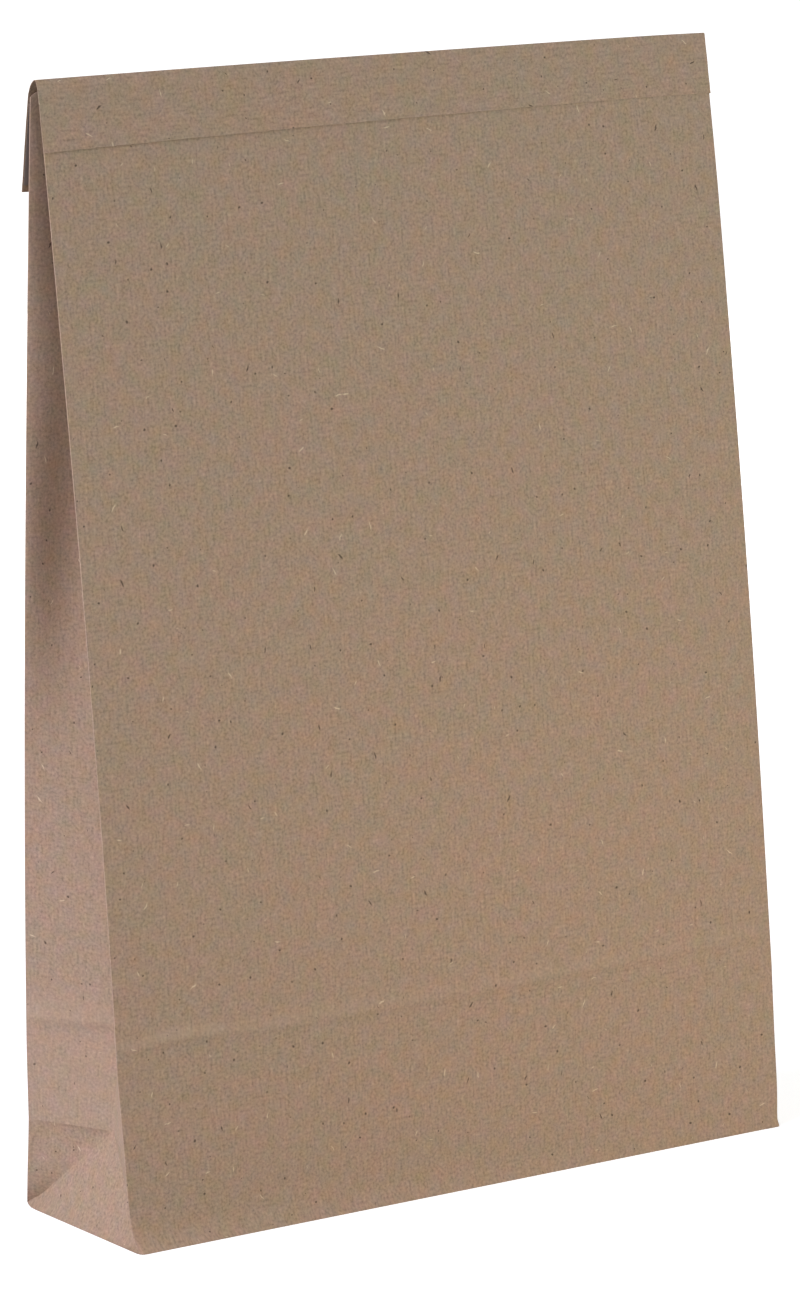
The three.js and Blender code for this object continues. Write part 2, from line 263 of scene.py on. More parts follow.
def corner_lift(face, height, from_fold):
    """How far a back bottom corner stands off the floor at a distance from its fold."""
    if face < 0:
        return 0.0
    low = 1 - clamp(height / CORNER_HEIGHT)
    return CORNER_LIFT * low * math.exp(-((from_fold / CORNER_LIFT_RUN) ** 2))


def fold_width(height):
    """Outside width of the fold between a panel and a gusset. At the bottom corner it opens out."""
    return lerp(CORNER_FOLD_WIDTH, FOLD_WIDTH, clamp(height / CORNER_HEIGHT))


def settled(point):
    """Where a point of the even bag has come to stand. The bottom's left end is askew, its right end
    stands further out with a small ear at the front, and the right end is drawn in towards the top."""
    left, right = (clamp(side * point.x / (PANEL_WIDTH / 2)) for side in (-1, 1))
    low = clamp(1 - point.z / TUCK_HEIGHT)
    high = clamp((point.z - RIGHT_DRAW_FROM) / (TOP_HEIGHT - RIGHT_DRAW_FROM))
    askew = -LEFT_SKEW * left * low * point.y / HALF_GUSSET
    spread = right * (RIGHT_SPREAD * low - RIGHT_DRAW * high**RIGHT_DRAW_CURVE)
    from_corner = Vector((half_width(0) - point.x, HALF_GUSSET + point.y)).length
    ear = RIGHT_EAR * math.exp(-((from_corner / RIGHT_EAR_RUN) ** 2) - (point.z / RIGHT_EAR_RISE) ** 2)
    return point + Vector((askew + spread + ear, -ear / 2, 0))


def front_edge(height, side):
    """Outside of the front panel at its left (-1) or right (1) fold."""
    share = height / MOUTH_HEIGHT
    gape = MOUTH_GAP / 2 + (LEFT_GAP if side < 0 else 0.0)
    straight = lerp(-HALF_GUSSET, MOUTH_SETBACK - gape, share)
    if side < 0:
        drawn = LEFT_PINCH * (1 - math.exp(-height / EAR_HEIGHT)) * math.exp(-height / LEFT_PINCH_RUN)
    else:
        run = height / RIGHT_PINCH_RUN
        drawn = RIGHT_PINCH * run * math.exp(1 - run)
    bow = LEFT_BOW if side < 0 else RIGHT_BOW
    return straight - bow * math.sin(math.pi * share) + drawn * (1 - share)


def back_edge(height):
    """Outside of the back panel at its folds."""
    share = height / MOUTH_HEIGHT
    straight = lerp(HALF_GUSSET, MOUTH_SETBACK + MOUTH_GAP / 2, share)
    drawn = BACK_PINCH * min(height / BOTTOM_CREASE, 1) * math.exp(-height / BACK_PINCH_RUN)
    return straight + BACK_BOW * math.sin(math.pi * share) - drawn


def uneven(x, height, seed):
    """Slow waves and small ripples of a hand-filled paper panel."""
    slow = noise.noise(Vector((x / WAVE_LENGTH, height / WAVE_LENGTH, seed)))
    quick = noise.noise(Vector((x / RIPPLE_LENGTH, height / RIPPLE_LENGTH, seed + 9.5)))
    return WAVE * slow + RIPPLE * quick


def panel_crease(x):
    return PACKING_CREASE + CREASE_SKEW * x / PANEL_WIDTH + LEFT_RIDGE_RISE * near_left_streak(x)


def gusset_crease(face, share):
    return PACKING_CREASE + GUSSET_CREASE_RISE * (share if face > 0 else 1)


def panel_ridge(above):
    """Section of the packing crease on a panel, 1 at its crest, at a height above it."""
    width = RIDGE_ABOVE if above > 0 else RIDGE_BELOW
    return math.exp(-((above / width) ** 2))


def gusset_ridge(above):
    """Section of the packing crease on a gusset."""
    if above > 0:
        return clamp(1 - above / GUSSET_RIDGE_ABOVE) ** 2
    return math.exp(-((above / GUSSET_RIDGE_BELOW) ** 2))


def panel_scuff(face, x, height):
    """Paleness of the packing crease on a panel."""
    wear_and_light = PANEL_SCUFF
    if face < 0:
        wear_and_light += LEFT_SCUFF * near_left_streak(x)
    above = height - panel_crease(x)
    return wear_and_light * math.exp(-((2 * above / SCUFF_WIDTH - 1) ** 2))


def gusset_painted_light(face, share, height):
    """Painted light on a gusset: paler along its packing crease and down to its bottom crease."""
    above = height - gusset_crease(face, share)
    if above > 0:
        return GUSSET_CREASE_LIGHT * clamp(1 - above / GUSSET_RIDGE_ABOVE)
    return BETWEEN_CREASES_LIGHT if height >= BOTTOM_CREASE else 0.0


def near_left_streak(x):
    return math.exp(-(((x - LEFT_RIDGE_AT) / LEFT_RIDGE_RUN) ** 2))


def panel_y(face, x, height):
    """Outside of the front (-1) or back (1) panel."""
    half = half_width(height)
    across = clamp(1 - (x / half) ** 2)
    up = math.sin(math.pi * clamp(height / BAND_FOOT))
    crease = panel_crease(x)
    stand = clamp(min(height / crease, (BAND_FOOT - height) / (BAND_FOOT - crease)))
    out = PANEL_BULGE * up + CREASE_STAND * stand + uneven(x, height, 3.0 * face) * min(1, WAVE_FADE * up)
    line = PANEL_RIDGE if face > 0 else PANEL_RIDGE + LEFT_RIDGE * near_left_streak(x)
    out = out * across + line * panel_ridge(height - crease) * min(1, RIDGE_FADE * across)
    if face > 0:
        return back_edge(height) + out
    return lerp(front_edge(height, -1), front_edge(height, 1), (x / half + 1) / 2) - out


def back_z(height):
    return height * (1 - BACK_DROP / MOUTH_HEIGHT)


def valley(side, height):
    """Valley fold of a gusset above its bottom crease: inset from the folds, place in depth, height."""
    front, back = front_edge(height, side), back_edge(height)
    spread = (back - front) / 2
    climbed = clamp((height - BOTTOM_CREASE) / (PACKING_CREASE - BOTTOM_CREASE))
    past = max(height - PACKING_CREASE, 0) / BULGE_RUN
    slack = CREASE_SLACK * (1 - climbed) + BULGE_SLACK * past * math.exp(1 - past)
    inset = math.sqrt(max(HALF_GUSSET**2 - spread**2, 0)) * (1 - slack)
    z = (height + back_z(height)) / 2 - VALLEY_DIP * climbed
    return inset, (front + back) / 2, z


def gusset_point(side, face, height, share):
    """Point of a half gusset. Face is -1 for the front half and 1 for the back half, and share runs from
    the fold to the valley."""
    half = half_width(height)
    width = fold_width(height)
    edge_y = front_edge(height, side) + width if face < 0 else back_edge(height) - width
    edge_z = height if face < 0 else back_z(height)
    edge = Vector((half, edge_y, edge_z))
    if height < BOTTOM_CREASE:
        return lower_gusset_point(side, face, height, share, edge)
    inset, middle, valley_z = valley(side, height)
    sharp = Vector((half - inset, middle + face * FOLD_WIDTH / 2, valley_z))
    point = edge.lerp(sharp, share)
    folded = rolled(height, share, abs(edge.y - sharp.y))
    point.y = lerp(edge.y, sharp.y, lerp(share, folded, closed(height, share)))
    point.x += GUSSET_RIDGE * gusset_ridge(height - gusset_crease(face, share)) * between_folds(share)
    return point


def rolled(height, share, spread):
    """Way from the fold to the middle, as a share of their spread, of a half gusset that still lies
    along its panel."""
    swell = math.exp(-(((height - SWELL_HEIGHT) / SWELL_RUN) ** 2))
    roll = lerp(ROLL, TOP_ROLL, clamp((height - ROLL_FROM) / ROLL_FADE)) + ROLL_SWELL * swell
    run = ROLL_RUN + RUN_SWELL * swell
    near = min(roll / spread, ROLL_MOST) * (1 - math.exp(-share * HALF_GUSSET / run))
    return near + (1 - near) * share**HOLLOW


def closed(height, share):
    """0 where a gusset has opened out, 1 where it still lies folded. The bend between runs aslant."""
    up = clamp((height - OPENING_HEIGHT - OPENING_RISE * share) / OPENING_RUN + 0.5)
    return up * up * (3 - 2 * up)


def between_folds(share):
    """1 on a half gusset, running out beside its folds."""
    return clamp(min(share, 1 - share) / FOLD_SHARE)


def lower_gusset_point(side, face, height, share, edge):
    """Below the bottom crease a diagonal fold parts the half gusset into a side and a bottom triangle."""
    up = height / BOTTOM_CREASE
    corner = Vector((half_width(0), face * (HALF_GUSSET - fold_width(0)), 0))
    inset, middle, apex_z = valley(side, BOTTOM_CREASE)
    apex = Vector((half_width(BOTTOM_CREASE) - inset, middle + face * FOLD_WIDTH / 2, apex_z))
    foot = Vector((half_width(0), face * fold_width(0) / 2, 0))
    diagonal = corner.lerp(apex, up)
    inward = Vector((-1, POCKET_LEAN, 0)) if face < 0 else Vector((-1, 0, POCKET_RISE))
    if share > up:
        diagonal += inward * pocket(up)
        return diagonal.lerp(foot.lerp(apex, up), (share - up) / (1 - up))
    if up == 0:
        return edge
    point = edge.lerp(diagonal, share / up)
    point += inward * (pocket(share) * math.exp(-(up - share) * BOTTOM_CREASE / POCKET_RUN))
    if face > 0:
        below = (BOTTOM_CREASE - height) / DISH_RUN
        point.x -= DISH * below * math.exp(1 - below) * between_folds(share / up)
    return point


def pocket(share):
    """Extra depth of a diagonal fold at a share of its length from the bottom corner."""
    return POCKET * share / POCKET_SHARE * math.exp(1 - share / POCKET_SHARE)


GUSSET_SHARES = [s / HALF_GUSSET for s in spaced(HALF_GUSSET, HALF_GUSSET / HALF_GUSSET_COLUMNS)]


def wall_heights():
    """Rows of the wall. Below the bottom crease they step with the gusset's columns, so that its diagonal
    fold follows them, and across the packing crease they are close."""
    rows = [BOTTOM_CREASE * s for s in GUSSET_SHARES]
    upper = [BOTTOM_CREASE + s for s in spaced(MOUTH_HEIGHT - BOTTOM_CREASE, WALL_STEP)][1:]
    near = PACKING_CREASE - 3 * RIDGE_BELOW, PACKING_CREASE + GUSSET_CREASE_RISE + 2 * RIDGE_ABOVE
    fine_count = round((near[1] - near[0]) / (RIDGE_BELOW / 3))
    fine = [lerp(*near, i / fine_count) for i in range(fine_count + 1)]
    rows += [h for h in upper if h < near[0]] + fine + [h for h in upper if h > near[1]]
    return rows


def wall_columns():
    """Columns of the wall round the bag, from the lap under the back seam, anticlockwise seen from above.
    Each is (run along the sheet, height -> wear and painted light, height -> point, its place in a half
    gusset or None)."""
    columns = []
    half_lap = SEAM_LAP / 2
    half = PANEL_WIDTH / 2

    def add(run, wear_and_light, place, step=None):
        columns.append((run, wear_and_light, place, step))

    def panel(run, face, start, end, layer=0):
        length = abs(end - start)
        steps = spaced(length, PANEL_STEP)
        for s in steps:
            share = lerp(start, end, s / length) / half
            # A panel's column beside a fold gets wear and a painted highlight.
            least = BESIDE_FOLD if math.isclose(abs(share), 1) else 0.0
            add(
                run + s,
                lambda h, x=share * half, least=least: max(least, panel_scuff(face, x, h)),
                lambda h, share=share: panel_point(face, share, h, layer),
            )
        return run + length

    def fold(run, side, face):
        # Front folds get 1, rubbed pale and with a painted highlight; back folds get less.
        add(run, lambda h: 1.0 if face < 0 else BACK_FOLD_WEAR_AND_LIGHT, lambda h: fold_point(side, face, h))

    def gusset(run, side, first_face):
        for face in (first_face, -first_face):
            steps = range(len(GUSSET_SHARES))
            for step in steps if face == first_face else reversed(steps):
                share = GUSSET_SHARES[step]
                at = share if face == first_face else 2 - share
                # Beside the fold half that wear and painted highlight; above the creases painted light.
                least = 0.0 if step else BESIDE_FOLD / 2
                add(
                    run + at * HALF_GUSSET,
                    lambda h, f=face, s=share, least=least: max(least, gusset_painted_light(f, s, h)),
                    lambda h, f=face, s=share: side_point(side, f, h, s),
                    step,
                )
        return run + GUSSET_DEPTH

    run = panel(0.0, 1, half_lap, -half, -1)
    fold(run, -1, 1)
    run = gusset(run, -1, 1)
    fold(run, -1, -1)
    run = panel(run, -1, -half, half)
    fold(run, 1, -1)
    run = gusset(run, 1, -1)
    fold(run, 1, 1)
    panel(run, 1, half, -half_lap, 1)
    return columns


def panel_point(face, share, height, layer):
    """Point of a panel. In the lap of the back seam layer is 1 for the outer paper, which stands further
    out on the back, and -1 for the inner one, which stands higher on the bottom."""
    half = half_width(height)
    x = share * half
    y = panel_y(face, x, height)
    z = back_z(height) if face > 0 else height
    lap = (PAPER + GLUE_LINE) * clamp((SEAM_LAP / 2 + SEAM_RAMP - layer * x) / SEAM_RAMP)
    if layer > 0:
        y += lap
    elif layer < 0:
        z += lap * (1 - clamp(height / SEAM_RAMP))
    from_fold = half - abs(x)
    inset = corner_inset(face, height, from_fold)
    x -= math.copysign(inset, x)
    return Vector((x, y - face * inset, z + corner_lift(face, height, from_fold)))


def fold_point(side, face, height):
    """Crest of the fold between a panel and a gusset."""
    inset = corner_inset(face, height, 0.0)
    width = fold_width(height)
    x = side * (half_width(height) + FOLD_CREST * width - inset)
    if face > 0:
        z = back_z(height) + corner_lift(face, height, 0.0)
        return Vector((x, back_edge(height) - width / 2 - inset, z))
    return Vector((x, front_edge(height, side) + width / 2 + inset, height))


def side_point(side, face, height, share):
    point = gusset_point(side, face, height, share)
    from_fold = share * HALF_GUSSET
    inset = corner_inset(face, height, from_fold)
    z = point.z + corner_lift(face, height, from_fold) + mouth_climb(face, height, from_fold)
    curl = CUT_LIP * clamp(1 - (MOUTH_HEIGHT - height) / CUT_LIP_RUN) ** 2 * clamp(from_fold / MOUTH_STEP)
    return Vector((side * (point.x - inset), point.y + face * (curl - inset), z))


def mouth_climb(face, height, from_fold):
    """At the mouth a gusset's cut edge climbs from the back panel's height towards the front one's."""
    if face < 0:
        return 0.0
    near_mouth = clamp(1 - (MOUTH_HEIGHT - height) / MOUTH_RUN)
    return near_mouth * BACK_DROP * clamp(from_fold / MOUTH_STEP)


def offset_line(points, distance):
    """Plane points moved to the left of the way the line runs, with mitred corners."""
    moved = []
    for i, point in enumerate(points):
        before = points[max(i - 1, 0)]
        after = points[min(i + 1, len(points) - 1)]
        ways = [way.normalized() for way in (point - before, after - point) if way.length > 1e-6]
        normals = [Vector((-way.y, way.x)) for way in ways]
        total = sum(normals, Vector((0, 0)))
        reach = max(1 + normals[0].dot(normals[-1]), MITRE_LEAST)
        scale = 1 / reach if len(normals) == 2 else 1
        moved.append(point + total * (distance * scale))
    return moved


def paper_shell(outer, inner, runs, wear_and_light, folds=()):
    """Points, faces, sheet places, wear and painted light, and fold lines of one paper between two grids
    of points.
    A fold is a pair of (row, column) places; one that crosses a quad splits it."""
    rows, cols = len(outer), len(outer[0])
    points = [p for grid in (outer, inner) for row in grid for p in row]
    places = [(*p, layer) for layer in (0.0, INNER_FACE) for row in runs for p in row]
    wear_and_light_values = [w for _ in range(2) for row in wear_and_light for w in row]
    faces = []
    back = rows * cols
    for r in range(rows - 1):
        for c in range(cols - 1):
            a, b = r * cols + c, r * cols + c + 1
            d, e = a + cols, b + cols
            if ((r, c), (r + 1, c + 1)) in folds:
                cell = [(a, b, e), (a, e, d)]
            elif ((r, c + 1), (r + 1, c)) in folds:
                cell = [(a, b, d), (b, e, d)]
            else:
                cell = [(a, b, e, d)]
            faces += cell
            faces += [tuple(back + i for i in reversed(face)) for face in cell]
    for r in range(rows - 1):
        a, d = r * cols, (r + 1) * cols
        faces.append((back + a, a, d, back + d))
        a, d = a + cols - 1, d + cols - 1
        faces.append((a, back + a, back + d, d))
    for c in range(cols - 1):
        faces.append((c, back + c, back + c + 1, c + 1))
        a = (rows - 1) * cols + c
        faces.append((back + a, a, a + 1, back + a + 1))
    lines = [tuple(r * cols + c for r, c in fold) for fold in folds]
    lines += [(back + a, back + b) for a, b in lines]
    return points, faces, places, wear_and_light_values, lines


def paper_object(name, shells, material):
    """One mesh from paper shells, in metres, with the sheet places that its grain follows."""
    points, faces, places, wear_and_light_values, creases = [], [], [], [], set()
    for shell_points, shell_faces, shell_places, shell_wear_and_light, shell_lines in shells:
        start = len(points)
        creases |= {frozenset((start + a, start + b)) for a, b in shell_lines}
        points += [settled(p) * METRES for p in shell_points]
        faces += [tuple(start + i for i in face) for face in shell_faces]
        places += shell_places
        wear_and_light_values += shell_wear_and_light
    mesh = bpy.data.meshes.new(name)
    mesh.from_pydata(points, [], faces)
    mesh.validate()
    sheet = mesh.attributes.new("sheet", "FLOAT_VECTOR", "POINT")
    sheet.data.foreach_set("vector", [value for place in places for value in place])
    # Tint of wear and painted light: rubbed folds with painted highlights, a painted highlight on the
    # mouth's cut edge, painted light on the gussets.
    wear_and_painted_light = mesh.attributes.new("wear_and_painted_light", "FLOAT", "POINT")
    wear_and_painted_light.data.foreach_set("value", wear_and_light_values)
    mesh.polygons.foreach_set("use_smooth", [True] * len(mesh.polygons))
    mesh.set_sharp_from_angle(angle=math.radians(SHARP_FOLD))
    for edge in mesh.edges:
        if frozenset(edge.vertices) in creases:
            edge.use_edge_sharp = True
    mesh.materials.append(material)
    piece = bpy.data.objects.new(name, mesh)
    bpy.context.scene.collection.objects.link(piece)
    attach(piece, "root")
    return piece


# Turn of the wall under its bottom fold, as (outer inset, outer height, inner inset, inner height)
BOTTOM_TURN = (
    (BOTTOM_HEM, 0.0, BOTTOM_HEM, PAPER),
    (0.45, 0.0, 0.47, PAPER),
    (0.13, 0.13, 0.27, 0.27),
)
FRONT_LAYER, TUCK_LAYER = PAPER, 2 * PAPER  # height of the bottom layers that lie on the back flap
FRONT_LAYER_RAMP, TUCK_RAMP = 6.0, 3.0  # lengths over which they rise from the floor


def gusset_folds(columns, first_row):
    """Diagonal folds from the bottom corners to the valley, and the crease across their ends."""
    folds = set()
    crease_row = first_row + len(GUSSET_SHARES) - 1
    for c, (here, there) in enumerate(zip(columns, columns[1:])):
        steps = here[3], there[3]
        if None in steps or steps[0] == steps[1]:
            continue
        row = first_row + min(steps)
        folds.add(((row, c), (row + 1, c + 1)) if steps[0] < steps[1] else ((row, c + 1), (row + 1, c)))
        folds.add(((crease_row, c), (crease_row, c + 1)))
    return folds


def hem_row(feet, inset, height):
    """Row of the paper turned under the bottom fold. From a lifted corner it comes down to the floor."""
    half, deep = half_width(0) - inset, HALF_GUSSET - inset
    row = []
    for p, foot in zip(offset_line([f.xy for f in feet], inset), feet):
        lift = foot.z * (1 - inset / BOTTOM_HEM)
        row.append(Vector((clamp(p.x, -half, half), clamp(p.y, -deep, deep), height + lift)))
    return row


def wall_shell():
    columns = wall_columns()
    outer, inner, runs, wear_and_light = [], [], [], []
    feet = [place(0.0) for _, _, place, _ in columns]
    for out_inset, out_z, in_inset, in_z in BOTTOM_TURN:
        outer.append(hem_row(feet, out_inset, out_z))
        inner.append(hem_row(feet, in_inset, in_z))
        runs.append([(run, -out_inset) for run, _, _, _ in columns])
        wear_and_light.append([0.0] * len(columns))
    folds = gusset_folds(columns, len(outer) - 1)
    for height in wall_heights()[1:]:
        line = [place(height) for _, _, place, _ in columns]
        inside = offset_line([p.xy for p in line], PAPER)
        outer.append(line)
        inner.append([Vector((q.x, q.y, p.z)) for p, q in zip(line, inside)])
        runs.append([(run, height) for run, _, _, _ in columns])
        wear_and_light.append([wear_and_light_values(height) for _, wear_and_light_values, _, _ in columns])
    # Painted highlight along the mouth's cut edge, where it faces up into the light.
    wear_and_light[-1] = [CUT_EDGE_HIGHLIGHT] * len(columns)
    wear_and_light[-2] = [CUT_EDGE_HIGHLIGHT] * len(columns)
    return paper_shell(outer, inner, runs, wear_and_light, folds)


def bottom_flap_shell(face):
    """Long flap of the bottom: face is -1 for the one folded in from the front, 1 from the back."""
    fold_y = HALF_GUSSET - BOTTOM_HEM
    free_y = -BOTTOM_LAP / 2
    half = half_width(0) - BOTTOM_HEM - BOTTOM_FLAP_CLEAR
    rows, cols = BOTTOM_FLAP_ROWS, BOTTOM_FLAP_COLUMNS
    lower, upper, runs = [], [], []
    for i in range(rows + 1):
        along = lerp(fold_y, free_y, i / rows)
        z = FRONT_LAYER * clamp((fold_y - along) / FRONT_LAYER_RAMP) if face < 0 else 0.0
        end = half - (fold_y - along)
        xs = [lerp(-end, end, k / cols) * face for k in range(cols + 1)]
        jag = RAGGED / 2 if i == rows else 0.0
        ys = [face * (along + jag * noise.noise(Vector((x / 3, 7.0, face)))) for x in xs]
        lower.append([Vector((x, y, z)) for x, y in zip(xs, ys)])
        upper.append([Vector((x, y, z + BOTTOM_FLAP_PAPER)) for x, y in zip(xs, ys)])
        runs.append([(BOTTOM_FLAP_AT + x, along - fold_y - BOTTOM_HEM) for x in xs])
    wear_and_light = [[0.0] * (cols + 1) for _ in range(rows)] + [[BOTTOM_FLAP_WEAR] * (cols + 1)]
    return paper_shell(lower, upper, runs, wear_and_light)


def end_tuck_shell(side):
    """Gusset end folded in under the long flaps."""
    lower, upper, runs = [], [], []
    rows, cols = END_TUCK_ROWS, END_TUCK_COLUMNS
    for i in range(rows + 1):
        inset = lerp(BOTTOM_HEM, END_TUCK, i / rows)
        z = TUCK_LAYER * clamp((inset - BOTTOM_HEM) / TUCK_RAMP)
        x = side * (half_width(0) - inset)
        end = HALF_GUSSET - BOTTOM_HEM
        ys = [-side * lerp(-1, 1, k / cols) * end for k in range(cols + 1)]
        lower.append([Vector((x, y, z)) for y in ys])
        upper.append([Vector((x, y, z + PAPER)) for y in ys])
        runs.append([(END_TUCK_AT + y, -inset) for y in ys])
    wear_and_light = [[0.0] * (cols + 1) for _ in range(rows + 1)]
    return paper_shell(lower, upper, runs, wear_and_light)


# The closing strip
def band_seat(x, height):
    """Outside of the front panel where the band is glued. Above the mouth it is carried on, and turns
    back at the left."""
    x = clamp(x, -PANEL_WIDTH / 2, PANEL_WIDTH / 2)
    if height <= MOUTH_HEIGHT:
        return panel_y(-1, x, height)
    share = x / PANEL_WIDTH + 0.5
    above = height - MOUTH_HEIGHT
    slope = front_edge(MOUTH_HEIGHT, 1) - front_edge(MOUTH_HEIGHT - 1, 1)
    turned_back = LEFT_GAP * (1 - share) * (above / (top_height(x) - MOUTH_HEIGHT)) ** 2
    return panel_y(-1, x, MOUTH_HEIGHT) + slope * above + turned_back


def top_height(x):
    """Height of the fold over the mouth before it is rounded."""
    left, right = clamp(-x / STRIP_HALF), clamp(x / STRIP_HALF)
    return TOP_HEIGHT - LEFT_SAG * left**2 - RIGHT_SAG * right**RIGHT_SAG_CURVE


def flap_line(x, drop):
    """Inner face of the hanging flap below the fold, as (y, z)."""
    top = top_height(x)
    start = band_seat(x, top) - GLUE_LINE
    reach = FLAP_REACH * (1 - math.exp(-drop / FLAP_BEND)) + FLAP_SPLAY * drop
    wave = FLAP_WAVE * noise.noise(Vector((x / FLAP_WAVE_LENGTH, 4.0, 2.0))) * drop / FLAP_DROP
    return Vector((start + reach + wave, top - drop))


def strip_ends(x):
    """Length of the band and drop of the flap at x. The strip lies a little askew."""
    share = x / (2 * STRIP_HALF) + 0.5
    band = lerp(BAND_RIGHT, BAND_LEFT, (1 - share) ** BAND_CURVE)
    return band, FLAP_DROP + BAND_LEFT - band


def soften(points, first, last, rounds):
    """Rounds the corner of a line between two of its points."""
    for _ in range(rounds):
        middle = [(points[i - 1] + 2 * points[i] + points[i + 1]) / 4 for i in range(first, last)]
        points[first:last] = middle
    return points


def ragged(x, seed):
    """Unevenness of a cut edge at x."""
    teeth = noise.noise(Vector((x / RAGGED_TOOTH, seed, 0.5)))
    waves = noise.noise(Vector((x / RAGGED_WAVE, seed, 1.5)))
    return RAGGED * (teeth + RAGGED_WAVE_SHARE * waves)


def strip_line(x):
    """Inner face of the strip at x, from the band's lower edge to the flap's free edge, as (y, z)."""
    band, drop = strip_ends(x)
    top = top_height(x)
    foot = top - band + ragged(x, 3.0)
    top_from = top - TOP_REACH
    heights = [lerp(foot, top_from, s) for s in BAND_SHARES]
    top_count = round(TOP_REACH / TOP_STEP)
    heights += [lerp(top_from, top, i / top_count) for i in range(top_count)]
    left = clamp(LIFT_MIDDLE - x / (2 * STRIP_HALF))
    lift = BAND_LIFT * left**LIFT_CURVE
    line = []
    for height in heights:
        stand_off = lift * math.exp(-(height - foot) / LIFT_DEPTH)
        line.append(Vector((band_seat(x, height) - GLUE_LINE - stand_off, height)))
    corner = len(line)
    line += [flap_line(x, TOP_STEP * i) for i in range(top_count)]
    free = drop + ragged(x, 8.0)
    line += [flap_line(x, lerp(TOP_REACH, free, s)) for s in FLAP_SHARES]
    return soften(line, corner - TOP_SOFT_ROWS, corner + TOP_SOFT_ROWS + 1, TOP_SOFT_ROUNDS)


def strip_shell():
    count = round(2 * STRIP_HALF / STRIP_STEP)
    outer, inner, runs, wear_and_light = [], [], [], []
    for c in range(count + 1):
        x = lerp(-STRIP_HALF, STRIP_HALF, c / count)
        line = strip_line(x)
        outside = offset_line(line, PAPER)
        outside[0] = outside[0].lerp(line[0], BAND_PRESSED * clamp(x / STRIP_HALF))
        at_end = c in (0, count)
        bend = END_SWAY if at_end else 0.0
        sway = [x + bend * noise.noise(Vector((p.y / END_SWAY_LENGTH, x, 0.0))) for p in line]
        inner.append([Vector((s, p.x, p.y)) for s, p in zip(sway, line)])
        outer.append([Vector((s, p.x, p.y)) for s, p in zip(sway, outside)])
        along, places = 0.0, []
        for i, p in enumerate(line):
            along += (p - line[i - 1]).length if i else 0.0
            places.append((STRIP_AT + along, x))
        runs.append(places)
        last = len(line) - 1
        rim = STRIP_END_WEAR if at_end else 0.0
        wear_and_light.append([STRIP_WEAR if i in (0, last) else rim for i in range(len(line))])
    return paper_shell(inner, outer, runs, wear_and_light)


def liner_shell():
    half = STRIP_HALF - LINER_END
    outer, inner, runs = [], [], []
    shares = [i / LINER_ROWS for i in range(LINER_ROWS + 1)]
    for c in range(LINER_COLUMNS + 1):
        x = lerp(-half, half, c / LINER_COLUMNS)
        _, drop = strip_ends(x)
        seat = [flap_line(x, drop - LINER_MARGIN - LINER_WIDTH * (1 - share)) for share in shares]
        near = offset_line(seat, -GLUE_LINE)
        far = offset_line(seat, -GLUE_LINE - LINER_PAPER)
        outer.append([Vector((x, p.x, p.y)) for p in near])
        inner.append([Vector((x, p.x, p.y)) for p in far])
        runs.append([(x, share * LINER_WIDTH) for share in shares])
    wear_and_light = [[0.0] * len(shares) for _ in outer]
    return paper_shell(inner, outer, runs, wear_and_light)


# Finishes
def colour(hex_code):
    """sRGB hex to linear RGBA."""
    values = [int(hex_code[i : i + 2], 16) / 255 for i in (1, 3, 5)]
    return (*(v / 12.92 if v <= 0.04045 else ((v + 0.055) / 1.055) ** 2.4 for v in values), 1.0)


def put(tree, kind, inputs=None, **settings):
    """Adds a node. Settings are its own options; inputs are values or other nodes' sockets."""
    made = tree.nodes.new("ShaderNode" + kind)
    for name, value in settings.items():
        setattr(made, name, value)
    for name, value in (inputs or {}).items():
        if isinstance(value, bpy.types.NodeSocket):
            tree.links.new(value, made.inputs[name])
        else:
            made.inputs[name].default_value = value
    return made


def new_material(name):
    material = bpy.data.materials.new(name)
    material.use_nodes = True
    tree = material.node_tree
    return material, tree, tree.nodes["Principled BSDF"]


